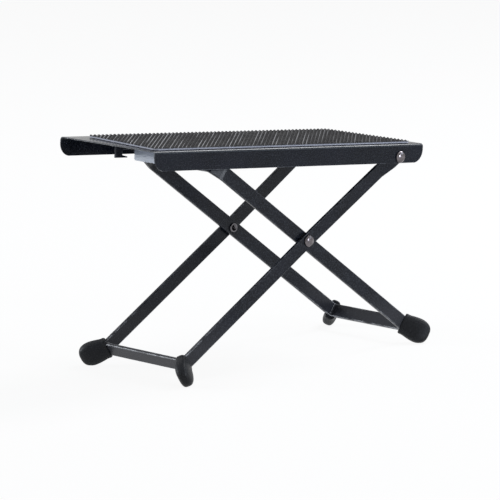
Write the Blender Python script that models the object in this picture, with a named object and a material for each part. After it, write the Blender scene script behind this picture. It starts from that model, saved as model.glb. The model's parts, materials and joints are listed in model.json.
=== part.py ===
"""Folding guitar footrest: a tray with a ribbed mat on two crossed flat-bar frames.

Metres, Z up, floor at z = 0. X runs along the tray, Y runs away from the viewer.
The outer frame leans up to the right and carries the tray on two rivets. The inner
frame leans up to the left, and its top bar stands in a hook of the racks under the tray.
"""
import math
import bmesh
import bpy
from mathutils import Matrix, Vector

# Pose: the outer frame's lean, and where the centre rivets stand along the object
OUTER_LEAN = math.radians(32.3)
PIVOT_FROM_MIDDLE = 0.02049

# Flat bar that both frames are bent from
BAR_WIDTH = 0.0120
BAR_THICKNESS = 0.0030
BAR_EDGE = 0.00045

# Outer frame, measured along its leg from the centre rivet
OUTER_FOOT_REACH = 0.1644
OUTER_TRAY_REACH = 0.1160
SPLAY_START = 0.0060
SPLAY_OUT = 0.0024
JOGGLE_TO_RIVET = 0.0070
JOGGLE_RUN = 0.0140
JOGGLE_OUT = 0.0038
JOGGLE_BEND = 0.0080
SPLAY_BEND = 0.0600
FOOT_CORNER_RADIUS = 0.0045

# Inner frame, measured the same way; its legs kink inwards just below the top bar
INNER_HALF_SPAN = 0.0460
INNER_FOOT_REACH = 0.14848
INNER_RACK_REACH = 0.1250
KINK_TO_BAR = 0.0145
KINK_IN = 0.0048
KINK_BEND = 0.0130
RACK_CORNER_RADIUS = 0.0045

# Tray, measured from its pivot, its left end from the racks
TRAY_PAST_RACK = 0.0342
TRAY_RIGHT = 0.0271
TRAY_SHEET = 0.0010
TRAY_TOP = 0.0108
TRAY_FLANGE_BOTTOM = -0.0055
TRAY_BEND = 0.0026
TRAY_CORNER = 0.0110
TRAY_EDGE = 0.00025

# Mat: the bare strips left at the tray's edges, wider at the mat's far left corner
MAT_NEAR_STRIP = 0.0050
MAT_FAR_STRIP = 0.0120
MAT_LEFT_STRIP_NEAR = 0.0045
MAT_LEFT_STRIP_FAR = 0.0200
MAT_RIGHT_STRIP_NEAR = 0.0106
MAT_RIGHT_STRIP_FAR = 0.0133
MAT_CORNER = 0.0040
MAT_BASE = 0.0013
RIB_HEIGHT = 0.0008
RIB_PITCH = 0.00304
RIB_TOP = 0.0013
RIB_FOOT = 0.0022
RIB_ANGLE = math.radians(45)

# Racks under the tray
RACK_Y = 0.0290
RACK_SHEET = 0.0020
RACK_BEND = 0.0022
RACK_FLANGE = 0.0150
RACK_EDGE = 0.00030
HOOK_PITCH = 0.0290
HOOKS_LOWER = 1
HOOKS_HIGHER = 2
HOOK_CEILING = 0.0022
HOOK_BOTTOM = -0.0044
HOOK_LENGTH = 0.0128
SPUR_LENGTH = 0.0058
SPUR_TIP = 0.0009
SPUR_ROOT = 0.0019
HOOK_LEAN = 0.0030
RACK_TAIL = 0.0160

# Cross strap that joins the racks just left of the hooks now in use
STRAP_PAST_RACK = 0.0078
STRAP_SHEET = 0.0016
STRAP_BOTTOM = -0.0080
STRAP_CORNER = 0.0015

# Rivets and washers
PIVOT_SHANK = 0.0025
PIVOT_HEAD = 0.0050
PIVOT_DOME = 0.0024
HEAD_RIM = 0.0004
TAIL_RADIUS = 0.0040
TAIL_MOUTH = 0.0024
TAIL_BORE = 0.0017
TAIL_ROLL = 0.0012
TAIL_DEPTH = 0.0045
WASHER_RADIUS = 0.0058
WASHER_THICKNESS = 0.0008
RACK_SHANK = 0.0017
RACK_HEAD = 0.0032
RACK_DOME = 0.0014
SINK_RADIUS = 0.0030
SINK_DEPTH = 0.0008
RACK_RIVET_INSET = 0.0170

# Rubber feet, pushed over the lower corners along the diagonal
FOOT_GRIP = 0.0044
FOOT_OFFSET = 0.0100
FOOT_LENGTH = 0.0110
FOOT_THIN = 0.0058
FOOT_TALL = 0.0106
FOOT_WEAR = 0.00026
FOOT_SQUARE = 3.0
FOOT_MOUTH_SHARES = ((-1.0, 0.80), (-0.97, 0.85), (-0.90, 0.88), (-0.80, 0.87), (-0.68, 0.88),
                     (-0.48, 0.93), (-0.24, 0.98), (0.0, 1.0))
FLOOR_BLOCK = 0.30

# Free space between pieces, and smoothness
GAP = 0.0003
SEAT_GAP = 0.0004
OVERRUN = 0.0040
TURN_SIDES = 24
SMALL_SIDES = 16
BEND_STEPS = 6
CORNER_STEPS = 8
FOOT_SIDES = 24
FOOT_RINGS = 8
SETTLE_STEPS = 12

SIDES = (("near", -1), ("far", 1))


def rounded_square(value):
    """Pulls a circle's coordinate towards a rounded square."""
    return math.copysign(abs(value) ** (2 / FOOT_SQUARE), value)


def foot_rings():
    """Levels along the foot and the share of its full girth there."""
    mouth = FOOT_OFFSET + FOOT_GRIP
    rings = [(mouth * along, girth) for along, girth in FOOT_MOUTH_SHARES]
    for step in range(1, FOOT_RINGS):
        angle = math.radians(90) * step / FOOT_RINGS
        rings.append((FOOT_LENGTH * math.sin(angle), math.cos(angle) ** (2 / FOOT_SQUARE)))
    return rings


def foot_corners(corner, outward):
    """Rings of a rounded cap whose axis runs outwards along the diagonal of a frame corner."""
    axis = Vector(outward).normalized()
    thin = Vector((-axis.y, axis.x, 0))
    tall = Vector((0, 0, 1))
    centre = Vector(corner) + axis * FOOT_OFFSET
    corners = []
    for along, girth in foot_rings():
        for side in range(FOOT_SIDES):
            angle = 2 * math.pi * side / FOOT_SIDES
            flat = rounded_square(math.cos(angle)) * FOOT_THIN * girth
            high = rounded_square(math.sin(angle)) * FOOT_TALL * girth
            corners.append(centre + axis * along + thin * flat + tall * high)
    return corners + [centre + axis * FOOT_LENGTH]


def foot_depth(lean):
    """How far a foot reaches below its frame corner when the leg leans."""
    fall = [x * math.sin(lean) + z * math.cos(lean) for x, _, z in foot_corners((0, 0, 0), (-1, 1, 0))]
    return -min(fall)


def standing_lean(height, reach):
    """The lean at which a leg from this height stands on its worn foot."""
    lean = OUTER_LEAN
    for _ in range(SETTLE_STEPS):
        lean = math.asin((height + FOOT_WEAR - foot_depth(lean)) / reach)
    return lean


def resting_tilt(pivot, edge):
    """The tray's tilt that lays its hooks' ceiling just above this edge of the inner frame's bar."""
    run = edge - pivot
    rise = math.atan2(run.z, -run.x)
    return math.asin((HOOK_CEILING - SEAT_GAP) / run.length) - rise


# Places: each body is built about its own pivot, and all feet stand on the floor
PIVOT_HEIGHT = OUTER_FOOT_REACH * math.sin(OUTER_LEAN) + foot_depth(OUTER_LEAN) - FOOT_WEAR
INNER_LEAN = standing_lean(PIVOT_HEIGHT, INNER_FOOT_REACH)
PIVOT = Vector((PIVOT_FROM_MIDDLE, 0, PIVOT_HEIGHT))
OUTER = Matrix.Translation(PIVOT) @ Matrix.Rotation(-OUTER_LEAN, 4, 'Y')
INNER = Matrix.Translation(PIVOT) @ Matrix.Rotation(INNER_LEAN, 4, 'Y')
TRAY_PIVOT = OUTER @ Vector((OUTER_TRAY_REACH, 0, 0))
TRAY_TILT = resting_tilt(TRAY_PIVOT, INNER @ Vector((-INNER_RACK_REACH, 0, BAR_WIDTH / 2)))
TRAY = Matrix.Translation(TRAY_PIVOT) @ Matrix.Rotation(-TRAY_TILT, 4, 'Y')
OUTER_HALF_SPAN = INNER_HALF_SPAN + WASHER_THICKNESS + GAP + GAP + BAR_THICKNESS
OUTER_TOP_SPAN = OUTER_HALF_SPAN + SPLAY_OUT + JOGGLE_OUT
TRAY_HALF_WIDTH = OUTER_TOP_SPAN + WASHER_THICKNESS + GAP + GAP + TRAY_SHEET


def clear_scene():
    """Starts from nothing but the pieces made here."""
    for thing in list(bpy.data.objects):
        bpy.data.objects.remove(thing, do_unlink=True)


def material(name, colour, metallic, roughness):
    """One plain surface."""
    surface = bpy.data.materials.new(name)
    surface.use_nodes = True
    shader = surface.node_tree.nodes["Principled BSDF"]
    shader.inputs["Base Color"].default_value = (*colour, 1)
    shader.inputs["Metallic"].default_value = metallic
    shader.inputs["Roughness"].default_value = roughness
    surface.diffuse_color = (*colour, 1)
    return surface


def painted_steel(name):
    """Satin blue-black paint on steel."""
    return material(name + "_paint", (0.028, 0.032, 0.042), 0.0, 0.42)


def bright_steel(name):
    """Nickel-plated steel."""
    return material(name + "_nickel", (0.62, 0.60, 0.60), 1.0, 0.25)


def zinc_steel(name):
    """Dull zinc-plated steel."""
    return material(name + "_zinc", (0.42, 0.43, 0.45), 1.0, 0.45)


def ribbed_rubber(name):
    """Dark grey rubber sheet."""
    return material(name + "_rubber", (0.045, 0.043, 0.047), 0.0, 0.75)


def foot_rubber(name):
    """Soft black rubber."""
    return material(name + "_rubber", (0.030, 0.032, 0.036), 0.0, 0.70)


def nylon(name):
    """Milky plastic."""
    return material(name + "_nylon", (0.70, 0.69, 0.64), 0.0, 0.50)


def solid(name, corners, faces, place, surface, smooth=True):
    """A mesh object whose origin is its body's pivot."""
    mesh = bpy.data.meshes.new(name)
    mesh.from_pydata([tuple(corner) for corner in corners], [], faces)
    skin = bmesh.new()
    skin.from_mesh(mesh)
    bmesh.ops.recalc_face_normals(skin, faces=skin.faces)
    skin.to_mesh(mesh)
    skin.free()
    thing = bpy.data.objects.new(name, mesh)
    bpy.context.scene.collection.objects.link(thing)
    thing.matrix_world = place
    if surface:
        mesh.materials.append(surface)
    if smooth:
        mesh.shade_smooth()
        mesh.set_sharp_from_angle(angle=math.radians(30))
    return thing


def cutter(name, corners, faces, place):
    """A hidden shape that only cuts."""
    thing = solid(name, corners, faces, place, None, smooth=False)
    thing.hide_render = True
    thing.display_type = 'WIRE'
    return thing


def combine(target, tool, operation='DIFFERENCE'):
    """Cuts the target with the tool, or keeps what they share."""
    step = target.modifiers.new(tool.name, 'BOOLEAN')
    step.operation = operation
    step.solver = 'EXACT'
    step.object = tool


def rounded_path(corners, radii):
    """Points and left-hand normals along straight runs joined by round bends."""
    samples = []
    last = len(corners) - 1
    for index, corner in enumerate(corners):
        here = Vector(corner)
        if index in (0, last):
            other = Vector(corners[1] if index == 0 else corners[last - 1])
            run = (other - here if index == 0 else here - other).normalized()
            samples.append((here, Vector((-run.y, run.x))))
            continue
        samples += bend(Vector(corners[index - 1]), here, Vector(corners[index + 1]), radii[index])
    return samples


def bend(before, corner, after, radius):
    """One round bend of the given middle radius."""
    run_in = (corner - before).normalized()
    run_out = (after - corner).normalized()
    turn = run_in.x * run_out.y - run_in.y * run_out.x
    angle = math.atan2(turn, run_in.dot(run_out))
    tangent = radius * math.tan(abs(angle) / 2)
    start = corner - run_in * tangent
    side = math.copysign(1, angle)
    normal_in = Vector((-run_in.y, run_in.x))
    centre = start + normal_in * side * radius
    steps = max(2, round(abs(angle) / math.radians(90) * BEND_STEPS))
    samples = []
    for step in range(steps + 1):
        spin = Matrix.Rotation(angle * step / steps, 2)
        normal = spin @ normal_in
        samples.append((centre - normal * side * radius, normal))
    return samples


def section(thickness, half_width, edge):
    """Corners of a flat section with its edges broken: (offset, height) pairs."""
    t = thickness / 2
    w = half_width
    return [(t, edge - w), (t, w - edge), (t - edge, w), (edge - t, w),
            (-t, w - edge), (-t, edge - w), (edge - t, -w), (t - edge, -w)]


def swept(samples, half_widths, thickness, edge, spread, closed=False):
    """Skin of a flat strip on a path: spread turns (x, y, height) into body coordinates."""
    corners = []
    for (point, normal), half_width in zip(samples, half_widths):
        for offset, height in section(thickness, half_width, edge):
            at = point + normal * offset
            corners.append(spread(at.x, at.y, height))
    around = len(section(thickness, BAR_WIDTH, edge))
    rings = len(samples)
    faces = []
    for ring in range(rings if closed else rings - 1):
        following = (ring + 1) % rings
        for side in range(around):
            next_side = (side + 1) % around
            faces.append((ring * around + side, ring * around + next_side,
                          following * around + next_side, following * around + side))
    if not closed:
        faces.append(tuple(reversed(range(around))))
        faces.append(tuple((rings - 1) * around + side for side in range(around)))
    return corners, faces


def in_plane(x, y, height):
    """A strip bent in the frame's own plane, standing on edge."""
    return (x, y, height)


def turned(profile, closed_profile=False, sides=TURN_SIDES):
    """Skin of a round piece: profile of (radius, along) pairs about the Y axis."""
    corners = []
    starts = []
    for radius, along in profile:
        starts.append(len(corners))
        if radius == 0:
            corners.append((0, along, 0))
            continue
        for side in range(sides):
            angle = 2 * math.pi * side / sides
            corners.append((radius * math.cos(angle), along, radius * math.sin(angle)))
    faces = []
    count = len(profile)
    for ring in range(count if closed_profile else count - 1):
        following = (ring + 1) % count
        radii = (profile[ring][0], profile[following][0])
        faces += band(starts[ring], starts[following], *radii, sides)
    return corners, faces


def band(low, high, low_radius, high_radius, sides):
    """Faces between two rings, or between a ring and a point on the axis."""
    faces = []
    for side in range(sides):
        other = (side + 1) % sides
        if low_radius == 0:
            faces.append((low, high + other, high + side))
        elif high_radius == 0:
            faces.append((low + side, low + other, high))
        else:
            faces.append((low + side, low + other, high + other, high + side))
    return faces


def moved(corners, offset):
    """The same corners shifted."""
    return [tuple(Vector(corner) + Vector(offset)) for corner in corners]


def on_side(corners, side):
    """The near or the far copy of a piece drawn for the far side."""
    return [(x, side * y, z) for x, y, z in corners]


def prism(outline, low, high, spread):
    """A flat outline drawn out between two levels."""
    count = len(outline)
    corners = [spread(x, y, low) for x, y in outline] + [spread(x, y, high) for x, y in outline]
    faces = [tuple(reversed(range(count))), tuple(range(count, 2 * count))]
    for index in range(count):
        other = (index + 1) % count
        faces.append((index, other, count + other, count + index))
    return corners, faces


def upright(x, z, level):
    """Spreads an outline drawn in the side view."""
    return (x, level, z)


def pin(radius, half_length, at_x=0):
    """A plain round cutter across the body."""
    profile = [(0, -half_length), (radius, -half_length), (radius, half_length), (0, half_length)]
    corners, faces = turned(profile)
    return moved(corners, (at_x, 0, 0)), faces


def outer_path(grow=0):
    """Middle line of the outer frame and its half widths, with rounded leg ends."""
    middle = BAR_THICKNESS / 2
    span = OUTER_HALF_SPAN - middle
    top = OUTER_TOP_SPAN - middle
    foot = middle - OUTER_FOOT_REACH
    joggle_end = OUTER_TRAY_REACH - JOGGLE_TO_RIVET
    leg = [(OUTER_TRAY_REACH, top), (joggle_end, top), (joggle_end - JOGGLE_RUN, span + SPLAY_OUT),
           (SPLAY_START, span), (foot, span)]
    radii = [0, JOGGLE_BEND, JOGGLE_BEND, SPLAY_BEND, FOOT_CORNER_RADIUS - middle]
    corners = [(x, -y) for x, y in leg] + list(reversed(leg))
    samples = rounded_path(corners, radii + list(reversed(radii)))
    widths = [BAR_WIDTH / 2 + grow] * len(samples)
    return rounded_ends(samples, widths, BAR_WIDTH / 2)


def rounded_ends(samples, widths, radius):
    """Rounds off the width past both ends of an open path."""
    tail = []
    for step in range(1, CORNER_STEPS):
        angle = math.radians(90) * step / CORNER_STEPS
        tail.append((radius * math.sin(angle), widths[0] - radius + radius * math.cos(angle)))
    ends = [width for _, width in tail]
    lead = run_on(samples[0], samples[1], tail)
    trail = run_on(samples[-1], samples[-2], tail)
    return list(reversed(lead)) + samples + trail, list(reversed(ends)) + widths + ends


def run_on(end, inward, tail):
    """Points straight on past an end."""
    point, normal = end
    run = (point - inward[0]).normalized()
    return [(point + run * past, normal) for past, _ in tail]


def inner_path(grow=0):
    """Middle line of the closed inner frame."""
    middle = BAR_THICKNESS / 2
    span = INNER_HALF_SPAN - middle
    foot = INNER_FOOT_REACH - middle
    rack = middle - INNER_RACK_REACH
    kink = KINK_TO_BAR - INNER_RACK_REACH
    side = [(rack, span - KINK_IN), (kink, span), (foot, span)]
    radii = [RACK_CORNER_RADIUS - middle, KINK_BEND, FOOT_CORNER_RADIUS - middle]
    loop = [(x, -y) for x, y in reversed(side)] + side
    samples = looped_path(loop, list(reversed(radii)) + radii)
    return samples, [BAR_WIDTH / 2 + grow] * len(samples)


def looped_path(loop, radii):
    """Points and left-hand normals around a closed path, with a round bend at every corner."""
    samples = []
    for index, corner in enumerate(loop):
        following = loop[(index + 1) % len(loop)]
        samples += bend(Vector(loop[index - 1]), Vector(corner), Vector(following), radii[index])
    return samples


def make_outer_frame():
    """The outer frame: one bar bent into a U, with two rivet holes in each leg."""
    samples, widths = outer_path()
    skin = swept(samples, widths, BAR_THICKNESS, BAR_EDGE, in_plane)
    frame = solid("outer_frame", *skin, OUTER, painted_steel("outer_frame"))
    hole = PIVOT_SHANK + GAP
    combine(frame, cutter("outer_centre_hole", *pin(hole, TRAY_HALF_WIDTH), OUTER))
    combine(frame, cutter("outer_tray_hole", *pin(hole, TRAY_HALF_WIDTH, OUTER_TRAY_REACH), OUTER))


def make_inner_frame():
    """The inner frame: one bar bent into a closed ring."""
    samples, widths = inner_path()
    skin = swept(samples, widths, BAR_THICKNESS, BAR_EDGE, in_plane, closed=True)
    frame = solid("inner_frame", *skin, INNER, painted_steel("inner_frame"))
    combine(frame, cutter("inner_centre_hole", *pin(PIVOT_SHANK + GAP, TRAY_HALF_WIDTH), INNER))


def tray_left():
    """The tray's left end."""
    return rack_ends()[0] - TRAY_PAST_RACK


def make_tray():
    """The tray: one sheet folded down along both sides, with rounded lower corners."""
    middle = TRAY_SHEET / 2
    side = TRAY_HALF_WIDTH - middle
    top = TRAY_TOP - middle
    low = TRAY_FLANGE_BOTTOM + TRAY_CORNER
    fold = TRAY_BEND - middle
    left = tray_left()
    samples = rounded_path([(-side, low), (-side, top), (side, top), (side, low)], [0, fold, fold, 0])
    widths = [(TRAY_RIGHT - left) / 2] * len(samples)
    samples, widths = rounded_ends(samples, widths, TRAY_CORNER)
    centre = (left + TRAY_RIGHT) / 2
    skin = swept(samples, widths, TRAY_SHEET, TRAY_EDGE, lambda y, z, height: (centre + height, y, z))
    tray = solid("tray", *skin, TRAY, painted_steel("tray"))
    combine(tray, cutter("tray_pivot_hole", *pin(PIVOT_SHANK + GAP, TRAY_HALF_WIDTH + OVERRUN), TRAY))
    for name, at in rack_rivet_places():
        combine(tray, cutter("sunk_hole_" + name, *sunk_hole(at), TRAY))


def standing(corners, at):
    """Stands a turned piece upright on a place of the tray."""
    return [(x + at[0], z + at[1], along) for x, along, z in corners]


def sunk_hole(at):
    """The cone and shank hole that a flush rivet needs."""
    hole = RACK_SHANK + GAP
    neck = TRAY_TOP - SINK_DEPTH
    above = TRAY_TOP + SINK_DEPTH
    wide = SINK_RADIUS + SINK_RADIUS - hole
    profile = [(0, above), (wide, above), (hole, neck), (hole, TRAY_FLANGE_BOTTOM), (0, TRAY_FLANGE_BOTTOM)]
    corners, faces = turned(profile, sides=SMALL_SIDES)
    return standing(corners, at), faces


def seat_at(level):
    """Where the back of the inner frame's top bar crosses a level of the tray."""
    to_tray = TRAY.inverted() @ INNER
    back = -INNER_RACK_REACH - SEAT_GAP
    low = to_tray @ Vector((back, 0, -BAR_WIDTH / 2))
    high = to_tray @ Vector((back, 0, BAR_WIDTH / 2))
    share = (level - low.z) / (high.z - low.z)
    return low.x + (high.x - low.x) * share


def hook_tips():
    """Spur tips from the lowest setting to the highest; the bar now stands at one of them."""
    seat = seat_at(HOOK_BOTTOM)
    return [seat + HOOK_PITCH * count for count in range(-HOOKS_LOWER, HOOKS_HIGHER + 1)]


def rack_ends():
    """Left and right end of the racks."""
    tips = hook_tips()
    return tips[0] - HOOK_LENGTH, tips[-1] + RACK_TAIL


def hook_gap(tip, following):
    """The open room in front of one hook, up to the back of the next."""
    below = HOOK_BOTTOM - OVERRUN
    root = tip - SPUR_LENGTH
    return [(tip, below), (tip, HOOK_BOTTOM + SPUR_TIP), (root + SPUR_TIP, HOOK_BOTTOM + SPUR_ROOT),
            (root, HOOK_BOTTOM + SPUR_ROOT + SPUR_TIP), (root, HOOK_CEILING - SPUR_TIP),
            (root + SPUR_TIP, HOOK_CEILING), (following + HOOK_LEAN, HOOK_CEILING), (following, below)]


def rack_rivet_places():
    """Names and places of the four rack rivets."""
    left, right = rack_ends()
    line = RACK_Y - RACK_FLANGE / 2
    places = []
    for side_name, side in SIDES:
        places.append((side_name + "_left", (left + RACK_RIVET_INSET, side * line)))
        places.append((side_name + "_right", (right - RACK_RIVET_INSET, side * line)))
    return places


def make_rack(side_name, side):
    """One rack: a strip folded to an angle, its upright leaf cut into hooks."""
    left, right = rack_ends()
    middle = RACK_SHEET / 2
    top = TRAY_TOP - TRAY_SHEET - GAP - middle
    samples = rounded_path([(RACK_Y - RACK_FLANGE, top), (RACK_Y, top), (RACK_Y, HOOK_BOTTOM)],
                           [0, RACK_BEND - middle, 0])
    widths = [(right - left) / 2] * len(samples)
    centre = (left + right) / 2
    corners, faces = swept(samples, widths, RACK_SHEET, RACK_EDGE,
                           lambda y, z, height: (centre + height, y, z))
    name = "rack_" + side_name
    rack = solid(name, on_side(corners, side), faces, TRAY, painted_steel(name))
    tips = hook_tips()
    for index, tip in enumerate(tips):
        last = index == len(tips) - 1
        following = right + OVERRUN if last else tips[index + 1] - HOOK_LENGTH
        shape = prism(hook_gap(tip, following), RACK_Y - OVERRUN, RACK_Y + OVERRUN, upright)
        name = "hook_gap_" + side_name + "_" + str(index)
        combine(rack, cutter(name, on_side(shape[0], side), shape[1], TRAY))
    for name, at in rack_rivet_places():
        if name.startswith(side_name):
            combine(rack, cutter("rack_hole_" + name, *rack_hole(at), TRAY))


def rack_hole(at):
    """A plain upright hole."""
    hole = RACK_SHANK + GAP
    corners, faces = turned([(0, TRAY_TOP), (hole, TRAY_TOP), (hole, 0), (0, 0)], sides=SMALL_SIDES)
    return standing(corners, at), faces


def make_strap():
    """The cross strap: a flat bar on edge, close against the racks' second hooks."""
    half_height = (HOOK_CEILING - GAP - STRAP_BOTTOM) / 2
    level = HOOK_CEILING - GAP - half_height
    back = hook_tips()[HOOKS_LOWER] - HOOK_LENGTH + HOOK_LEAN / 3 - GAP
    centre = back - STRAP_SHEET / 2
    reach = RACK_Y + STRAP_PAST_RACK - STRAP_CORNER
    samples = rounded_path([(-reach, 0), (reach, 0)], [0, 0])
    samples, widths = rounded_ends(samples, [half_height] * len(samples), STRAP_CORNER)
    skin = swept(samples, widths, STRAP_SHEET, RACK_EDGE,
                 lambda y, offset, height: (centre + offset, y, level + height))
    solid("rack_strap", *skin, TRAY, painted_steel("rack_strap"))


def make_rack_rivet(name, at):
    """A flush rivet with a small round closing head under the rack."""
    flush = TRAY_TOP - SEAT_GAP + GAP
    neck = TRAY_TOP - SINK_DEPTH - GAP
    under = TRAY_TOP - TRAY_SHEET - GAP - RACK_SHEET - GAP
    profile = [(0, flush), (SINK_RADIUS - GAP, flush), (RACK_SHANK, neck), (RACK_SHANK, under),
               (RACK_HEAD, under), (RACK_HEAD, under - HEAD_RIM)]
    profile += dome(RACK_HEAD, under - HEAD_RIM, -RACK_DOME)
    corners, faces = turned(profile, sides=SMALL_SIDES)
    solid("rack_rivet_" + name, standing(corners, at), faces, TRAY, zinc_steel("rack_rivet_" + name))


def dome(radius, level, height):
    """A round cap from just past its rim to its top."""
    cap = []
    for step in range(1, BEND_STEPS):
        angle = math.radians(90) * step / BEND_STEPS
        cap.append((radius * math.cos(angle), level + height * math.sin(angle)))
    return cap + [(0, level + height)]


def make_pivot_rivet(name, place, side, at_x, head, tail):
    """A round-headed rivet whose hollow end is rolled over inside."""
    rim = head + HEAD_RIM
    profile = list(reversed(dome(PIVOT_HEAD, rim, PIVOT_DOME)))
    profile += [(PIVOT_HEAD, rim), (PIVOT_HEAD, head), (PIVOT_SHANK, head), (PIVOT_SHANK, tail),
                (TAIL_RADIUS - TAIL_ROLL / 4, tail), (TAIL_RADIUS, tail - TAIL_ROLL / 3),
                (TAIL_RADIUS - TAIL_ROLL / 4, tail - TAIL_ROLL),
                (TAIL_MOUTH + TAIL_ROLL / 3, tail - TAIL_ROLL), (TAIL_MOUTH, tail - TAIL_ROLL / 2),
                (TAIL_BORE, tail), (TAIL_BORE, tail + TAIL_DEPTH),
                (0, tail + TAIL_DEPTH + TAIL_ROLL)]
    corners, faces = turned(profile)
    corners = on_side(moved(corners, (at_x, 0, 0)), side)
    solid(name, corners, faces, place, bright_steel(name))


def make_washer(name, place, side, at_x, inside):
    """A nylon washer that keeps two flat faces apart."""
    outside = inside + WASHER_THICKNESS
    bore = PIVOT_SHANK + GAP
    profile = [(bore, inside), (WASHER_RADIUS, inside), (WASHER_RADIUS, outside), (bore, outside)]
    corners, faces = turned(profile, closed_profile=True)
    corners = on_side(moved(corners, (at_x, 0, 0)), side)
    solid(name, corners, faces, place, nylon(name))


def make_pivots(side_name, side):
    """The two rivets and two washers of one side."""
    bar_inside = INNER_HALF_SPAN - BAR_THICKNESS - GAP
    make_pivot_rivet("centre_rivet_" + side_name, OUTER, side, 0, OUTER_HALF_SPAN + GAP, bar_inside)
    make_washer("centre_washer_" + side_name, OUTER, side, 0, INNER_HALF_SPAN + GAP)
    leg_inside = OUTER_TOP_SPAN - BAR_THICKNESS - GAP
    at_x = OUTER_TRAY_REACH
    make_pivot_rivet("tray_rivet_" + side_name, OUTER, side, at_x, TRAY_HALF_WIDTH + GAP, leg_inside)
    make_washer("tray_washer_" + side_name, OUTER, side, at_x, OUTER_TOP_SPAN + GAP)


def make_mat():
    """The mat: a thin sheet with slanting ribs, cut to a rounded rectangle."""
    bottom = TRAY_TOP + GAP
    middle = Vector(((tray_left() + TRAY_RIGHT) / 2, 0, 0))
    reach = TRAY_RIGHT - tray_left()
    count = math.ceil(reach / RIB_PITCH / 2)
    outline = [(-reach, -OVERRUN)]
    for index in range(-count, count + 1):
        at = index * RIB_PITCH
        outline += [(at - RIB_FOOT / 2, MAT_BASE), (at - RIB_TOP / 2, MAT_BASE + RIB_HEIGHT),
                    (at + RIB_TOP / 2, MAT_BASE + RIB_HEIGHT), (at + RIB_FOOT / 2, MAT_BASE)]
    outline.append((reach, -OVERRUN))
    corners, faces = prism(outline, -reach, reach, upright)
    turn = Matrix.Rotation(RIB_ANGLE - math.radians(90), 3, 'Z')
    corners = [turn @ Vector(corner) + middle + Vector((0, 0, bottom)) for corner in corners]
    mat = solid("mat", corners, faces, TRAY, ribbed_rubber("mat"))
    edge = prism(mat_outline(), bottom, bottom + MAT_BASE + RIB_HEIGHT + OVERRUN, in_plane)
    combine(mat, cutter("mat_outline", *edge, TRAY), 'INTERSECT')


def mat_outline():
    """The mat's outline, not quite square, with rounded corners."""
    left = tray_left()
    near = MAT_NEAR_STRIP - TRAY_HALF_WIDTH
    far = TRAY_HALF_WIDTH - MAT_FAR_STRIP
    loop = [(TRAY_RIGHT - MAT_RIGHT_STRIP_FAR, far), (left + MAT_LEFT_STRIP_FAR, far),
            (left + MAT_LEFT_STRIP_NEAR, near), (TRAY_RIGHT - MAT_RIGHT_STRIP_NEAR, near)]
    return [tuple(point) for point, _ in looped_path(loop, [MAT_CORNER] * len(loop))]


def foot_skin(corner, outward):
    """Skin of a rounded cap on a frame corner."""
    corners = foot_corners(corner, outward)
    rings = len(foot_rings())
    faces = [tuple(range(FOOT_SIDES))]
    for ring in range(rings):
        for side in range(FOOT_SIDES):
            other = (side + 1) % FOOT_SIDES
            low = ring * FOOT_SIDES
            high = low + FOOT_SIDES
            if ring == rings - 1:
                faces.append((low + side, low + other, len(corners) - 1))
            else:
                faces.append((low + side, low + other, high + other, high + side))
    return corners, faces


def make_feet():
    """Four rubber feet, each cut by the bar it grips and worn flat on the floor."""
    floor = cutter("floor", *floor_block(), Matrix.Identity(4))
    grown = BAR_THICKNESS + GAP + GAP
    outer_bar = cutter("outer_socket", *swept(*outer_path(GAP), grown, BAR_EDGE, in_plane), OUTER)
    inner_skin = swept(*inner_path(GAP), grown, BAR_EDGE, in_plane, closed=True)
    inner_bar = cutter("inner_socket", *inner_skin, INNER)
    for side_name, side in SIDES:
        skin = foot_skin((-OUTER_FOOT_REACH, side * OUTER_HALF_SPAN, 0), (-1, side, 0))
        foot = solid("foot_outer_" + side_name, *skin, OUTER, foot_rubber("foot_outer_" + side_name))
        combine(foot, outer_bar)
        combine(foot, floor)
        skin = foot_skin((INNER_FOOT_REACH, side * INNER_HALF_SPAN, 0), (1, side, 0))
        foot = solid("foot_inner_" + side_name, *skin, INNER, foot_rubber("foot_inner_" + side_name))
        combine(foot, inner_bar)
        combine(foot, floor)


def floor_block():
    """Everything below the floor."""
    reach = FLOOR_BLOCK
    return prism([(-reach, -reach), (reach, -reach), (reach, reach), (-reach, reach)], -reach, 0, in_plane)


def build():
    """Makes every piece in place."""
    clear_scene()
    make_outer_frame()
    make_inner_frame()
    make_tray()
    make_mat()
    for side_name, side in SIDES:
        make_rack(side_name, side)
        make_pivots(side_name, side)
    make_strap()
    for name, at in rack_rivet_places():
        make_rack_rivet(name, at)
    make_feet()


build()
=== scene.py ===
# %% [markdown]
# # A folding guitar footrest
# A painted steel tray carries a ribbed rubber mat. Two frames bent from flat bar cross
# under it and turn on bright rivets, and rubber caps stand on the floor. The solids of
# the model come first, as a fixed frame that everything else is placed by. They could be
# drawn again here by eye, but only the solids are sure to agree with the hinges.

# %% Load the model
import json
import math
import bmesh
import bpy
from mathutils import Matrix, Vector


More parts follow.
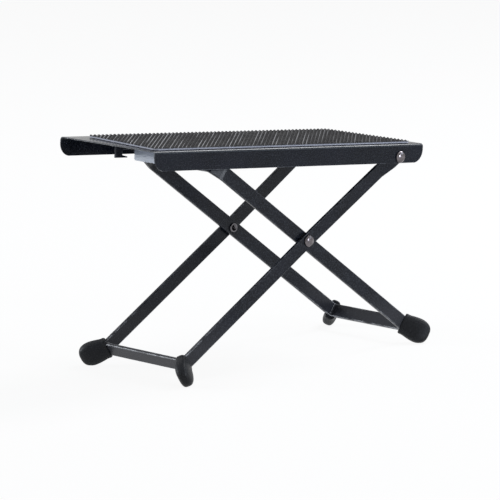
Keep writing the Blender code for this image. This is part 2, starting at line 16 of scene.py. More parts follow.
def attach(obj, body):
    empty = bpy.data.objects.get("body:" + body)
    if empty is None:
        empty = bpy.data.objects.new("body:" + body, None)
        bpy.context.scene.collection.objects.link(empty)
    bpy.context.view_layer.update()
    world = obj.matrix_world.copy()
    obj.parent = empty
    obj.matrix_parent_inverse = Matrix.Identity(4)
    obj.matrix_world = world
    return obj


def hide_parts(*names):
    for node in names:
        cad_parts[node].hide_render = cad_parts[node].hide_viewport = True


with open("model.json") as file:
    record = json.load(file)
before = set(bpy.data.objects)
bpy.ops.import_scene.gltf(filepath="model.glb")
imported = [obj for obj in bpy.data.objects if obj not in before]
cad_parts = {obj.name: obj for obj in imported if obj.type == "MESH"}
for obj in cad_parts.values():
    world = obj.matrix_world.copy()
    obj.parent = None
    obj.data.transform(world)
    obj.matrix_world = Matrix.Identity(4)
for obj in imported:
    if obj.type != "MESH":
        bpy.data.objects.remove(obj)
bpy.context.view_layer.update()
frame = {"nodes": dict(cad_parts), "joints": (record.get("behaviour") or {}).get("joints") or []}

nodes = frame["nodes"]

# %% [markdown]
# ## Camera
# The footrest was photographed from its front left, slightly from above, through a long
# lens, so that its edges stay nearly parallel. A camera without perspective would come
# close, but it would lose the slight narrowing towards the back. So this one stands three
# metres away with a long lens. Its place is written as a direction and a distance from
# the point it looks at, because that is how a photographer would set it up.

# %% Place the camera
LOOK_AT = Vector((0.0006, 0.0, 0.0905))
AZIMUTH = math.radians(-42.52)
ELEVATION = math.radians(9.70)
DISTANCE = 3.359
LENS = 288.0
SENSOR = 36.0
CLIP_NEAR, CLIP_FAR = 0.1, 60.0


def stand(name, data, place, direction):
    """Puts a camera or a lamp in the scene, facing a direction."""
    made = bpy.data.objects.new(name, data)
    bpy.context.scene.collection.objects.link(made)
    made.location = place
    made.rotation_mode = "QUATERNION"
    made.rotation_quaternion = direction.to_track_quat("-Z", "Y")
    return made


back = Vector((math.sin(AZIMUTH) * math.cos(ELEVATION),
               -math.cos(AZIMUTH) * math.cos(ELEVATION), math.sin(ELEVATION)))
view = bpy.data.cameras.new("camera")
view.sensor_width, view.lens = SENSOR, LENS
view.clip_start, view.clip_end = CLIP_NEAR, CLIP_FAR
camera = stand("camera", view, LOOK_AT + back * DISTANCE, -back)
bpy.context.scene.camera = camera
print("camera at", [round(value, 3) for value in camera.location])

# %% [markdown]
# ## Shader helpers
# Every finish here is a web of nodes. It could be drawn by hand in the node editor, but
# a script can be read, changed and run again. So making a node and wiring it is a single
# line each, and the steps that come back in every finish have a helper of their own.

# %% Nodes, ranges and sums
def add(tree, kind, **settings):
    """Adds a node and sets its plain settings."""
    made = tree.nodes.new(kind)
    for name, value in settings.items():
        setattr(made, name, value)
    return made


def feed(tree, target, source):
    """Links an output to an input, or sets a plain value."""
    if hasattr(source, "is_output"):
        tree.links.new(source, target)
    else:
        target.default_value = source


def ramp(tree, value, start, end, low=0.0, high=1.0):
    """Runs from low to high while a value runs from start to end, and stays level beyond."""
    spread = add(tree, "ShaderNodeMapRange")
    feed(tree, spread.inputs["Value"], value)
    limits = {"From Min": start, "From Max": end, "To Min": low, "To Max": high}
    for title, number in limits.items():
        spread.inputs[title].default_value = number
    return spread.outputs["Result"]


def work_out(tree, operation, first, second=None, **settings):
    """The result of a sum on one value or two."""
    sum_node = add(tree, "ShaderNodeMath", operation=operation, **settings)
    feed(tree, sum_node.inputs[0], first)
    if second is not None:
        feed(tree, sum_node.inputs[1], second)
    return sum_node.outputs["Value"]


print("node helpers ready")

# %% Places and noise
def own_place(tree):
    """A point's place in its piece's own coordinates, which move with the piece."""
    return add(tree, "ShaderNodeTexCoord").outputs["Object"]


def one_axis(tree, vector, axis):
    """One coordinate of a vector."""
    parts = add(tree, "ShaderNodeSeparateXYZ")
    feed(tree, parts.inputs["Vector"], vector)
    return parts.outputs[axis]


def reach_along(tree, vector, direction):
    """How far a vector reaches along a direction."""
    product = add(tree, "ShaderNodeVectorMath", operation="DOT_PRODUCT")
    feed(tree, product.inputs[0], vector)
    feed(tree, product.inputs[1], direction)
    return product.outputs["Value"]


def mapped(tree, vector, turn=(0.0, 0.0, 0.0), stretch=(1.0, 1.0, 1.0)):
    """A place stretched first and turned after, to lay a pattern out differently."""
    made = add(tree, "ShaderNodeMapping")
    feed(tree, made.inputs["Vector"], vector)
    made.inputs["Rotation"].default_value = turn
    made.inputs["Scale"].default_value = stretch
    return made.outputs["Vector"]


def noise(tree, vector, scale, detail=2.0):
    """Soft noise, mostly near the middle between 0 and 1."""
    made = add(tree, "ShaderNodeTexNoise")
    feed(tree, made.inputs["Vector"], vector)
    feed(tree, made.inputs["Scale"], scale)
    made.inputs["Detail"].default_value = detail
    return made.outputs["Fac"]


print("place helpers ready")

# %% Groups
def new_group(name, inputs, outputs):
    """A shader group with named float inputs and named outputs."""
    group = bpy.data.node_groups.new(name, "ShaderNodeTree")
    for title, default in inputs:
        socket = group.interface.new_socket(title, in_out="INPUT", socket_type="NodeSocketFloat")
        socket.default_value = default
    for title, kind in outputs:
        group.interface.new_socket(title, in_out="OUTPUT", socket_type=kind)
    return group, group.nodes.new("NodeGroupInput"), group.nodes.new("NodeGroupOutput")


def place_group(tree, group, **values):
    """Puts a group into a material with its own values; underscores stand for spaces."""
    made = add(tree, "ShaderNodeGroup", node_tree=group)
    for name, value in values.items():
        feed(tree, made.inputs[name.replace("_", " ")], value)
    return made


print("group helpers ready")

# %% [markdown]
# ## Grain
# Sprayed paint dries with a fine uneven skin, and rubber has a fine pitted one. A picture
# of a real skin could be laid over the pieces, but it would need unwrapping and would
# show its edges. Noise in the piece's own coordinates needs neither: a fine one for the
# bumps and specks, and a broad one for slow changes of tone and gloss. One group serves
# every finish with different values.

# %% Grain group
GRAIN_HEIGHT = 0.0003
CLOUD_DETAIL = 5.0
CLOUD_LOW, CLOUD_HIGH = 0.35, 0.65


def build_grain():
    """Fine bumps as a normal, the same fine noise for specks, and broad clouds from 0 to 1."""
    group, given, result = new_group(
        "fine grain", [("Grain Scale", 900.0), ("Cloud Scale", 16.0), ("Depth", 0.2)],
        [("Clouds", "NodeSocketFloat"), ("Specks", "NodeSocketFloat"), ("Normal", "NodeSocketVector")])
    where = own_place(group)
    fine = noise(group, where, given.outputs["Grain Scale"])
    broad = noise(group, where, given.outputs["Cloud Scale"], CLOUD_DETAIL)
    bump = add(group, "ShaderNodeBump")
    bump.inputs["Distance"].default_value = GRAIN_HEIGHT
    feed(group, bump.inputs["Strength"], given.outputs["Depth"])
    feed(group, bump.inputs["Height"], fine)
    feed(group, result.inputs["Clouds"], ramp(group, broad, CLOUD_LOW, CLOUD_HIGH))
    feed(group, result.inputs["Specks"], fine)
    feed(group, result.inputs["Normal"], bump.outputs["Normal"])
    return group


grain = build_grain()
print("group", grain.name)

# %% [markdown]
# ## Rubbed edges and edge highlights
# Paint is thinner on sharp edges and gets polished there by hands and shoes. The edges
# could be painted by hand, one by one. Comparing the true normal with a slightly rounded
# one finds them all without any painting, and follows when a shape changes. Noise breaks
# the line up, because real wear is never even. In the paint, the grey laid on this mask
# is partly such wear and partly a painted highlight.

# %% Edge group
EDGE_SAMPLES = 6
ALIKE_FLAT, ALIKE_EDGE = 0.99, 0.86
PATCH_LOW, PATCH_HIGH = 0.38, 0.62


def build_edges():
    """A mask that is 1 on sharp edges, for rubbed wear and for painted edge highlights."""
    group, given, result = new_group(
        "rubbed edges", [("Width", 0.0006), ("Patch Scale", 120.0), ("Amount", 0.6)],
        [("Mask", "NodeSocketFloat")])
    rounded = add(group, "ShaderNodeBevel", samples=EDGE_SAMPLES)
    feed(group, rounded.inputs["Radius"], given.outputs["Width"])
    true = add(group, "ShaderNodeNewGeometry")
    alike = reach_along(group, rounded.outputs["Normal"], true.outputs["Normal"])
    edge = ramp(group, alike, ALIKE_FLAT, ALIKE_EDGE)
    patches = noise(group, own_place(group), given.outputs["Patch Scale"])
    marked = work_out(group, "MULTIPLY", edge, ramp(group, patches, PATCH_LOW, PATCH_HIGH))
    mask = work_out(group, "MULTIPLY", marked, given.outputs["Amount"])
    feed(group, result.inputs["Mask"], mask)
    return group


edges = build_edges()
print("group", edges.name)

# %% [markdown]
# ## Scuffs
# Shoes and storage leave hair-thin scratches that catch the light. Single scratches could
# be drawn as lines, but there are hundreds. Noise that is stretched a long way in one
# direction and cut off hard gives as many as wanted, here in two directions at once.

# %% Scuff group
SCUFF_RUNS = ((0.5, (1.0, 14.0, 14.0)), (-0.9, (16.0, 1.0, 12.0)))
SCUFF_TIP = 0.7
SCUFF_DETAIL = 3.0
SCUFF_LOW, SCUFF_HIGH = 0.66, 0.74


def build_scuffs():
    """A mask of thin scratches."""
    group, given, result = new_group(
        "thin scuffs", [("Fineness", 60.0), ("Amount", 0.4)], [("Mask", "NodeSocketFloat")])
    where = own_place(group)
    runs = []
    for lean, stretch in SCUFF_RUNS:
        laid = mapped(group, where, turn=(lean, lean * SCUFF_TIP, lean), stretch=stretch)
        lines = noise(group, laid, given.outputs["Fineness"], SCUFF_DETAIL)
        runs.append(ramp(group, lines, SCUFF_LOW, SCUFF_HIGH))
    both = work_out(group, "MAXIMUM", *runs)
    feed(group, result.inputs["Mask"], work_out(group, "MULTIPLY", both, given.outputs["Amount"]))
    return group


scuffs = build_scuffs()
print("group", scuffs.name)

# %% [markdown]
# ## Finishes
# Each finish could mix several shaders for its layers. One Principled shader is enough
# for paint, plate, rubber and nylon alike, and it lasts when the model is exported.
# Values that stay the same are typed on its own sockets, and only what changes over the
# surface comes from the groups.

# %% Start and end of a finish
def new_finish(name, metallic=0.0, specular=0.5):
    """An empty finish and its Principled shader."""
    finish = bpy.data.materials.new(name)
    finish.use_nodes = True
    tree = finish.node_tree
    shader = tree.nodes["Principled BSDF"]
    shader.inputs["Metallic"].default_value = metallic
    shader.inputs["Specular IOR Level"].default_value = specular
    return finish, tree, shader


def between(tree, share, low, high):
    """A value between two, by a mask."""
    return ramp(tree, share, 0.0, 1.0, low, high)


def lay_on(tree, shader, tone, skin, rough):
    """Gives a shader its colour, a gloss between two values by the clouds, and its fine skin."""
    feed(tree, shader.inputs["Base Color"], tone)
    feed(tree, shader.inputs["Roughness"], between(tree, skin.outputs["Clouds"], *rough))
    feed(tree, shader.inputs["Normal"], skin.outputs["Normal"])


print("finishes can be started")

# %% Colours by a mask
SPECK_LOW, SPECK_HIGH = 0.48, 0.66


def blend_colours(tree, first, second, share):
    """A colour between two, by a mask."""
    mix = add(tree, "ShaderNodeMix", data_type="RGBA")
    feed(tree, mix.inputs["Factor"], share)
    for socket, value in ((mix.inputs[6], first), (mix.inputs[7], second)):
        feed(tree, socket, value if hasattr(value, "is_output") else (*value, 1.0))
    return mix.outputs[2]


def specked(tree, skin, tone, pale, amount):
    """Adds the skin's fine pale specks to a colour."""
    specks = ramp(tree, skin.outputs["Specks"], SPECK_LOW, SPECK_HIGH, high=amount)
    return blend_colours(tree, tone, pale, specks)


print("colours can be blended")

# %% [markdown]
# ## Satin paint on the steel
# The steel is sprayed a satin blue-black, so deep that it lives from its reflections. A
# single colour would do from afar. Near by, the gloss is cloudy and the edges are grey,
# partly rubbed wear and partly a painted highlight. A mask by height makes the low bars
# paler and gives their edges a near-white painted highlight. The tray's paint is smoother,
# and the strap's paler grey-blue is partly a painted reflection. One function mixes all three.

# %% Height above the floor
LOW_MASK_TOP, LOW_MASK_FULL = 0.048, 0.026


def near_floor(tree):
    """A mask that is 1 on the low bars: a paler tone and a painted edge highlight."""
    return ramp(tree, one_axis(tree, own_place(tree), "Z"), LOW_MASK_TOP, LOW_MASK_FULL)


print("worn below", LOW_MASK_FULL)

# %% Mix the paint
PAINT_SPECK = (0.030, 0.034, 0.043)
SCRATCH = (0.060, 0.063, 0.070)
LOW_BAR_TONE = (0.042, 0.042, 0.048)
# Edge grey: partly rubbed wear and partly a painted highlight; near-white painted highlight on the low
# bars' edges.
EDGE_WEAR_AND_HIGHLIGHT = (0.27, 0.28, 0.31)
LOW_EDGE_HIGHLIGHT = (0.62, 0.63, 0.66)
EDGE_WIDTHS = (0.0007, 0.0014)
EDGE_AMOUNTS = (0.75, 1.0)
LOW_BAR_AMOUNT = 0.48


def satin_paint(name, deep, light, rough=(0.24, 0.32), specular=0.19, speck_amount=0.75):
    """Satin paint: cloudy gloss, a fine skin, edges of wear and painted highlight, paler low bars."""
    finish, tree, shader = new_finish(name, specular=specular)
    skin = place_group(tree, grain, Grain_Scale=1100.0, Cloud_Scale=22.0, Depth=0.12)
    low = near_floor(tree)
    marked = place_group(tree, edges, Width=between(tree, low, *EDGE_WIDTHS), Patch_Scale=140.0,
                       Amount=between(tree, low, *EDGE_AMOUNTS))
    lines = place_group(tree, scuffs, Fineness=55.0, Amount=0.3)
    tone = blend_colours(tree, deep, light, skin.outputs["Clouds"])
    tone = specked(tree, skin, tone, PAINT_SPECK, speck_amount)
    tone = blend_colours(tree, tone, SCRATCH, lines.outputs["Mask"])
    # The low bars are made paler, and their edges take a near-white painted highlight.
    tone = blend_colours(tree, tone, LOW_BAR_TONE, between(tree, low, 0.0, LOW_BAR_AMOUNT))
    edge_tone_with_highlight = blend_colours(tree, EDGE_WEAR_AND_HIGHLIGHT, LOW_EDGE_HIGHLIGHT, low)
    tone = blend_colours(tree, tone, edge_tone_with_highlight, marked.outputs["Mask"])
    lay_on(tree, shader, tone, skin, rough)
    return finish


BLUE_BLACK = ((0.0014, 0.0025, 0.0060), (0.0036, 0.0052, 0.0110))
GREY_BLUE_WITH_REFLECTION = ((0.31, 0.35, 0.43), (0.38, 0.42, 0.50))
paint = satin_paint("satin blue-black paint", *BLUE_BLACK)
tray_paint = satin_paint("smoother paint on the tray", *BLUE_BLACK, rough=(0.17, 0.25),
                         specular=0.15)
# The strap's pale grey-blue is partly its own paint and partly a painted reflection of the white
# floor.
strap_paint_and_reflection = satin_paint("grey-blue paint on the strap", *GREY_BLUE_WITH_REFLECTION, specular=0.4,
                          speck_amount=0.0)
print("finishes", paint.name, tray_paint.name, strap_paint_and_reflection.name)

# %% [markdown]
# ## Plate on the rivets
# The rivets are steel with a bright nickel plate, so they take their light from the
# room. A perfect mirror would be the easy way, but it looks like a drop of mercury. Small
# changes of roughness and a few hair lines make it a used part. The ends that were rolled
# over inside are darker, and the small rack rivets have a duller, greyer zinc plate.

# %% Rolled ends
ROLL_BLEND = 0.0003


def rolled_end(tree, level):
    """A mask that is 1 on a rivet's rolled inner end, nearer the middle than this level."""
    distance = work_out(tree, "ABSOLUTE", one_axis(tree, own_place(tree), "Y"))
    return ramp(tree, distance, level + ROLL_BLEND, level - ROLL_BLEND)


print("rolled ends blend over", ROLL_BLEND * 2)

# %% Bright and dull plate
ROLLED = (0.15, 0.145, 0.155)
CENTRE_END, TRAY_END = 0.0455, 0.0560


def plated(name, light, dark, rough, depth, end_level=None):
    """Plated steel with soft clouds and fine lines, darker where its end was rolled over."""
    finish, tree, shader = new_finish(name, metallic=1.0)
    skin = place_group(tree, grain, Grain_Scale=2500.0, Cloud_Scale=260.0, Depth=depth)
    lines = place_group(tree, scuffs, Fineness=300.0, Amount=0.6)
    tone = blend_colours(tree, light, dark, skin.outputs["Clouds"])
    tone = blend_colours(tree, tone, dark, lines.outputs["Mask"])
    if end_level is not None:
        tone = blend_colours(tree, tone, ROLLED, rolled_end(tree, end_level))
    lay_on(tree, shader, tone, skin, rough)
    return finish


NICKEL = ((0.20, 0.185, 0.196), (0.11, 0.10, 0.105), (0.17, 0.27), 0.05)
ZINC = ((0.40, 0.41, 0.43), (0.28, 0.29, 0.31), (0.38, 0.52), 0.12)
nickel_centre = plated("bright nickel plate on the centre rivets", *NICKEL, CENTRE_END)
nickel_tray = plated("bright nickel plate on the tray rivets", *NICKEL, TRAY_END)
zinc = plated("dull zinc plate", *ZINC)
print("finishes", nickel_centre.name, nickel_tray.name, zinc.name)

# %% [markdown]
# ## Rubber
# The feet are moulded from soft black rubber with a slightly grey bloom. The mat is a
# harder dark rubber. Its rib crests get a painted highlight in broken pale lines, and the
# lower part of its cut edge a pale bluish painted highlight. Those lines could be a picture
# or separate strips. Here they are worked out from the same rib spacing that makes the
# mat, so that they lie exactly on its crests. First the tray's own place and the direction
# across the ribs are found.

# %% Where the ribs lie
TRAY_LEFT = -0.2765
TRAY_RIGHT = 0.0271
TRAY_FACE = 0.0111
TRAY_TILT = math.radians(4.3018)
RIB_ANGLE = math.radians(45)
RIB_PITCH = 0.00304

tray_joint = next(joint for joint in frame["joints"] if joint["name"] == "tray_swing")
tray_place = Matrix.Translation(Vector(tray_joint["pos_m"])) @ Matrix.Rotation(TRAY_TILT, 4, "Y")
rib_turn = Matrix.Rotation(RIB_ANGLE - math.radians(90), 3, "Z")
middle = Vector(((TRAY_LEFT + TRAY_RIGHT) / 2, 0.0, TRAY_FACE))
tray_up = tray_place.to_3x3() @ Vector((0, 0, 1))
face_level = tray_up.dot(tray_place @ middle)
across_ribs = tray_place.to_3x3() @ rib_turn @ Vector((1, 0, 0))
rib_zero = across_ribs.dot(tray_place @ middle)
print("across the ribs", [round(value, 4) for value in across_ribs])

# %% Crest highlights
# Painted highlight lines on the rib crests: their width, streaks and fade to the right.
CREST_SIDE, CREST_CORE = 0.00042, 0.00018
STREAKS = (8.0, 300.0, 8.0)
STREAK_LOW, STREAK_HIGH, STREAK_LEAST = 0.44, 0.64, 0.10
FADE_RIGHT, FADE_LEFT = 0.12, -0.12
HIGHLIGHT_RIGHT, HIGHLIGHT_LEFT = 0.5, 1.2


def crest_highlights(tree):
    """A mask of the painted highlights on the ribs' crests, uneven and stronger to the left."""
    where = own_place(tree)
    shift = work_out(tree, "SUBTRACT", reach_along(tree, where, across_ribs), rib_zero)
    from_crest = work_out(tree, "PINGPONG", shift, RIB_PITCH / 2)
    crest = ramp(tree, from_crest, CREST_SIDE, CREST_CORE)
    along = mapped(tree, mapped(tree, where, turn=(0.0, 0.0, -RIB_ANGLE)), stretch=STREAKS)
    uneven = ramp(tree, noise(tree, along, 1.0), STREAK_LOW, STREAK_HIGH, STREAK_LEAST)
    marked = work_out(tree, "MULTIPLY", crest, uneven)
    fade = ramp(tree, one_axis(tree, where, "X"), FADE_RIGHT, FADE_LEFT, HIGHLIGHT_RIGHT, HIGHLIGHT_LEFT)
    return work_out(tree, "MULTIPLY", marked, fade, use_clamp=True)


print("a crest is pale over", CREST_SIDE * 2)

# %% Cut edge of the mat
UPRIGHT_NOT, UPRIGHT_FULL = 0.16, 0.09
PALE_TOP, PALE_FULL = 0.0015, 0.0009


def cut_faces(tree):
    """A mask of the lower half of the upright faces that the knife left, for their painted highlight.
    """
    shape = add(tree, "ShaderNodeTexCoord")
    steepness = work_out(tree, "ABSOLUTE", one_axis(tree, shape.outputs["Normal"], "Z"))
    upright = ramp(tree, steepness, UPRIGHT_NOT, UPRIGHT_FULL)
    height = reach_along(tree, shape.outputs["Object"], tray_up)
    low = ramp(tree, height, face_level + PALE_TOP, face_level + PALE_FULL)
    return work_out(tree, "MULTIPLY", upright, low)


print("the cut is pale up to", PALE_TOP)

# %% Mix the rubber
RUBBER_SPECK = (0.030, 0.032, 0.036)
RUBBER_SPECK_AMOUNT = 0.6
# A pale painted highlight on the rib crests.
CREST_HIGHLIGHT = (0.32, 0.315, 0.325)
# A pale bluish painted highlight on the lower half of the mat's cut face.
CUT_FACE_HIGHLIGHT = (0.40, 0.41, 0.475)


def rubber(name, colours, rough, worn_tone, worn_amount, specular=0.18, ribbed=False):
    """Matte rubber with a fine pitted skin and a grey bloom; a ribbed mat gets painted highlights."""
    finish, tree, shader = new_finish(name, specular=specular)
    skin = place_group(tree, grain, Grain_Scale=1500.0, Cloud_Scale=70.0, Depth=0.30)
    marked = place_group(tree, edges, Width=0.0005, Patch_Scale=90.0, Amount=worn_amount)
    tone = blend_colours(tree, *colours, skin.outputs["Clouds"])
    tone = specked(tree, skin, tone, RUBBER_SPECK, RUBBER_SPECK_AMOUNT)
    tone = blend_colours(tree, tone, worn_tone, marked.outputs["Mask"])
    if ribbed:
        # Painted highlights on the mat: pale lines on the rib crests and a pale bluish band on the cut
        # face.
        tone = blend_colours(tree, tone, CREST_HIGHLIGHT, crest_highlights(tree))
        tone = blend_colours(tree, tone, CUT_FACE_HIGHLIGHT, cut_faces(tree))
    lay_on(tree, shader, tone, skin, rough)
    return finish


foot_rubber = rubber("soft black rubber", ((0.0022, 0.0027, 0.0042), (0.0060, 0.0070, 0.0096)),
                     (0.40, 0.56), (0.035, 0.036, 0.040), 0.4)
mat_rubber = rubber("dark grey ribbed rubber", ((0.0050, 0.0042, 0.0050), (0.0098, 0.0084, 0.0096)),
                    (0.55, 0.70), (0.060, 0.057, 0.062), 0.5, specular=0.05, ribbed=True)
print("finishes", foot_rubber.name, mat_rubber.name)

# %% [markdown]
# ## Nylon washers
# Thin washers of black nylon keep the painted bars apart. Only a dark rim of each shows,
# so this could be plain black. The same grain, finer and flatter, is no more work and
# looks right when the frames are swung open.

# %% Black nylon for the washers
NYLON = ((0.014, 0.014, 0.016), (0.024, 0.024, 0.027))
NYLON_ROUGH = (0.42, 0.55)


def black_nylon(name):
    """Smooth dark nylon with a fine skin."""
    finish, tree, shader = new_finish(name)
    skin = place_group(tree, grain, Grain_Scale=1800.0, Cloud_Scale=200.0, Depth=0.10)
    tone = blend_colours(tree, *NYLON, skin.outputs["Clouds"])
    lay_on(tree, shader, tone, skin, NYLON_ROUGH)
    return finish


nylon = black_nylon("black nylon")
print("finish", nylon.name)

# %% [markdown]
# ## Dress the model's own pieces
# Both frames, the tray, the racks, the rivets, the washers and the feet already have
# their real shape. They could be rebuilt with rounder bends, but smooth shading hides
# their small facets just as well. So they keep it, and only get their finish and a
# smooth shading that leaves real edges sharp.

# %% Finish the steel, the plate, the nylon and the feet
PART_CREASE = 35
FINISHES = (("tray_rivet", nickel_tray), ("centre_rivet", nickel_centre), ("rack_rivet", zinc),
            ("tray_washer", nylon), ("centre_washer", nylon), ("foot", foot_rubber),
            ("rack_strap", strap_paint_and_reflection), ("rack", paint), ("outer_frame", paint),
            ("inner_frame", paint), ("tray", tray_paint))


def dress(piece, finish, crease):
    """Gives a piece its finish and smooth bends; edges sharper than the crease stay sharp."""
    piece.data.materials.clear()
    piece.data.materials.append(finish)
    piece.data.shade_smooth()
    piece.data.set_sharp_from_angle(angle=math.radians(crease))


for name, piece in nodes.items():
    finish = next((finish for start, finish in FINISHES if name.startswith(start)), None)
    if finish:
        dress(piece, finish, PART_CREASE)
        print(name, finish.name, len(piece.data.polygons))

# %% [markdown]
# ## The ribbed mat
# The real mat is moulded rubber with round-topped ribs running across it at 45 degrees.
# The model's ribs are straight-sided, so the mat is made again with rounded ones. Bumps
# in the material would be quicker, but the ribs show as teeth along the mat's edge, so
# they have to be real. One long wavy profile is drawn out into a sheet, and a Boolean
# keeps what lies inside the mat's outline, which cuts every rib cleanly, as a knife does.

# %% Profile of the ribs
MAT_BASE = 0.0013
RIB_HEIGHT = 0.0008
RIB_HALF = ((0.00118, 0.00000), (0.00098, 0.00022), (0.00076, 0.00048), (0.00048, 0.00070),
            (0.00018, RIB_HEIGHT))
RIB_SHAPE = [(-x, z) for x, z in RIB_HALF] + [(x, z) for x, z in reversed(RIB_HALF)]
SHEET_BOTTOM = -0.004


def wavy_profile(reach):
    """Side view of the ribbed sheet, from left to right and back below it."""
    count = math.ceil(reach / RIB_PITCH / 2)
    outline = [(-reach, SHEET_BOTTOM)]
    for index in range(-count, count + 1):
        outline += [(index * RIB_PITCH + x, MAT_BASE + z) for x, z in RIB_SHAPE]
    return outline + [(reach, SHEET_BOTTOM)]


sheet_reach = TRAY_RIGHT - TRAY_LEFT
profile = wavy_profile(sheet_reach)
print("profile points", len(profile))

# %% Outline of the mat
MAT_TOP = 0.0150
MAT_CORNERS = ((0.0138, 0.0470), (-0.2565, 0.0470), (-0.2720, -0.0540), (0.0165, -0.0540))
CORNER_RADIUS = 0.004


def rounded_outline(corners, radius, steps=8):
    """A flat outline with round corners."""
    outline = []
    for index, corner in enumerate(corners):
        here = Vector(corner)
        run_in = (here - Vector(corners[index - 1])).normalized()
        run_out = (Vector(corners[(index + 1) % len(corners)]) - here).normalized()
        angle = math.atan2(run_in.x * run_out.y - run_in.y * run_out.x, run_in.dot(run_out))
        start = here - run_in * radius * math.tan(abs(angle) / 2)
        side = math.copysign(radius, angle)
        normal = Vector((-run_in.y, run_in.x))
        centre = start + normal * side
        for step in range(steps + 1):
            spin = Matrix.Rotation(angle * step / steps, 2)
            outline.append(tuple(centre - (spin @ normal) * side))
    return outline


mat_outline = rounded_outline(MAT_CORNERS, CORNER_RADIUS)
print("outline points", len(mat_outline))

# %% Draw out a body and cut it
def drawn_out(name, low_ring, high_ring):
    """A closed body between two equal rings of points."""
    count = len(low_ring)
    faces = [tuple(range(count)), tuple(range(count, 2 * count))]
    for step in range(count):
        after = (step + 1) % count
        faces.append((step, after, count + after, count + step))
    mesh = bpy.data.meshes.new(name)
    mesh.from_pydata([tuple(point) for point in low_ring + high_ring], [], faces)
    skin = bmesh.new()
    skin.from_mesh(mesh)
    bmesh.ops.recalc_face_normals(skin, faces=skin.faces)
    skin.to_mesh(mesh)
    skin.free()
    made = bpy.data.objects.new(name, mesh)
    bpy.context.scene.collection.objects.link(made)
    return made


def keep_inside(target, tool):
    """Keeps what both bodies share, as a plain mesh, and takes the tool away."""
    step = target.modifiers.new("cut", "BOOLEAN")
    step.operation, step.solver, step.object = "INTERSECT", "EXACT", tool
    shown = target.evaluated_get(bpy.context.evaluated_depsgraph_get())
    result = bpy.data.meshes.new_from_object(shown)
    target.modifiers.clear()
    target.data = result
    bpy.data.objects.remove(tool, do_unlink=True)


print("cutting helpers ready")

# %% Cut the mat out of the ribbed sheet
MAT_CREASE = 40


def sheet_end(y):
    """The wavy profile, laid at 45 degrees on the tray, at one end of the sheet."""
    return [tray_place @ (rib_turn @ Vector((x, y, z)) + middle) for x, z in profile]


def knife_ring(z):
    """The mat's outline on the tray, at a height above the tray's hinges."""
    return [tray_place @ Vector((x, y, z)) for x, y in mat_outline]


ribbed_mat = drawn_out("ribbed_mat", sheet_end(-sheet_reach), sheet_end(sheet_reach))
keep_inside(ribbed_mat, drawn_out("mat_knife", knife_ring(TRAY_FACE), knife_ring(MAT_TOP)))
dress(ribbed_mat, mat_rubber, MAT_CREASE)
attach(ribbed_mat, "tray")
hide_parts("mat")
print("mat faces", len(ribbed_mat.data.polygons))

# %% [markdown]
# ## Floor and room
# The footrest stands on a wide pale floor in a white room. Lamps strong enough to turn
# them white would also wash out the paint. So they look white only to the camera and in
# reflections, and light the footrest with a low even light. The floor keeps a small share
# of its own shading, which draws a trace of the shadow.

# %% White to the camera
def white_where_seen(tree, plain, white, share, end):
    """Mixes in white, by a share, for rays that see the background directly or in a gloss."""
    path = add(tree, "ShaderNodeLightPath")
    seen = work_out(tree, "MAXIMUM", path.outputs["Is Camera Ray"], path.outputs["Is Glossy Ray"])
    seen = work_out(tree, "MAXIMUM", seen, path.outputs["Is Transmission Ray"])
    mix = add(tree, "ShaderNodeMixShader")
    feed(tree, mix.inputs[0], work_out(tree, "MULTIPLY", seen, share))
    feed(tree, mix.inputs[1], plain)
    feed(tree, mix.inputs[2], white)
    out = add(tree, end)
    feed(tree, out.inputs["Surface"], mix.outputs["Shader"])


print("background helper ready")

# %% Floor
FLOOR_COLOUR = (0.86, 0.86, 0.87, 1.0)
FLOOR_WHITE = 0.91
FLOOR_REACH = 25.0
FLOOR_DROP = 0.0002


def pale_floor(name):
    """Nearly white, with only part of its own shading."""
    finish = bpy.data.materials.new(name)
    finish.use_nodes = True
    tree = finish.node_tree
    tree.nodes.clear()
    dull = add(tree, "ShaderNodeBsdfDiffuse")
    dull.inputs["Color"].default_value = FLOOR_COLOUR
    white = add(tree, "ShaderNodeEmission")
    white.inputs["Color"].default_value = (1.0, 1.0, 1.0, 1.0)
    white_where_seen(tree, dull.outputs["BSDF"], white.outputs["Emission"], FLOOR_WHITE,
                     "ShaderNodeOutputMaterial")
    return finish


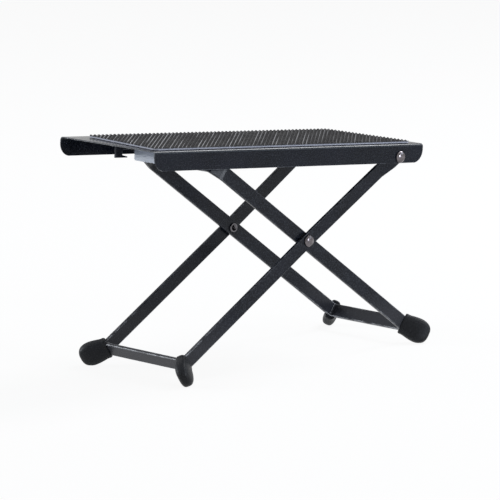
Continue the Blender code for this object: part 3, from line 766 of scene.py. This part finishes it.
floor_mesh = bpy.data.meshes.new("floor")
floor_corners = [(x * FLOOR_REACH, y * FLOOR_REACH, 0)
                 for x, y in ((-1, -1), (1, -1), (1, 1), (-1, 1))]
floor_mesh.from_pydata(floor_corners, [], [(0, 1, 2, 3)])
floor = bpy.data.objects.new("floor", floor_mesh)
floor.location.z = -FLOOR_DROP
floor_mesh.materials.append(pale_floor("pale floor"))
bpy.context.scene.collection.objects.link(floor)
print("floor", FLOOR_REACH * 2, "metres wide")

# %% Room
ROOM_TINT = (0.96, 0.98, 1.0, 1.0)
ROOM_LIGHT = 0.34

world = bpy.data.worlds.new("room")
bpy.context.scene.world = world
world.use_nodes = True
room = world.node_tree
room.nodes.clear()
even = add(room, "ShaderNodeBackground")
even.inputs["Color"].default_value = ROOM_TINT
even.inputs["Strength"].default_value = ROOM_LIGHT
white = add(room, "ShaderNodeBackground")
white.inputs["Strength"].default_value = 1.0
white_where_seen(room, even.outputs["Background"], white.outputs["Background"], 1.0,
                 "ShaderNodeOutputWorld")
bpy.context.scene.view_settings.view_transform = "Standard"
print("room light", ROOM_LIGHT)

# %% [markdown]
# ## Lamps
# The highlights tell where the lamps stood. One soft lamp stands low behind the left end,
# one hangs high on the right, and a long one hangs above the front. A small one in front
# draws the bright spots on the rivets and on the bent legs, and a weak bluish one on the
# right draws the soft band along the tray's near bend. One big lamp would be simpler, but
# it would leave the dark paint without its bands. Together they give a plain level.

# %% Hang the lamps
LAMPS = (
    # name, place, size in metres, power in watts, tint
    ("left lamp", (-2.1, 2.2, 0.60), (1.7, 1.1), 70.0, (0.90, 0.95, 1.0)),
    ("upper right lamp", (1.67, 0.0, 1.9), (0.8, 0.8), 36.0, (0.94, 0.97, 1.0)),
    ("overhead lamp", (-0.2, -0.7, 2.5), (3.0, 0.4), 8.0, (1.0, 1.0, 1.0)),
    ("front lamp", (0.55, -2.40, 0.48), (0.44, 0.44), 21.0, (0.84, 0.90, 1.0)),
    ("right lamp", (1.75, -1.45, 1.25), (1.3, 0.9), 9.0, (0.72, 0.86, 1.0)),
)


def soft_lamp(name, place, size, power, tint):
    """A rectangular soft lamp that faces the footrest."""
    lamp = bpy.data.lights.new(name, "AREA")
    lamp.shape = "RECTANGLE"
    lamp.size, lamp.size_y = size
    lamp.energy = power
    lamp.color = tint
    return stand(name, lamp, place, LOOK_AT - Vector(place))


for lamp in LAMPS:
    print("lamp", soft_lamp(*lamp).name)
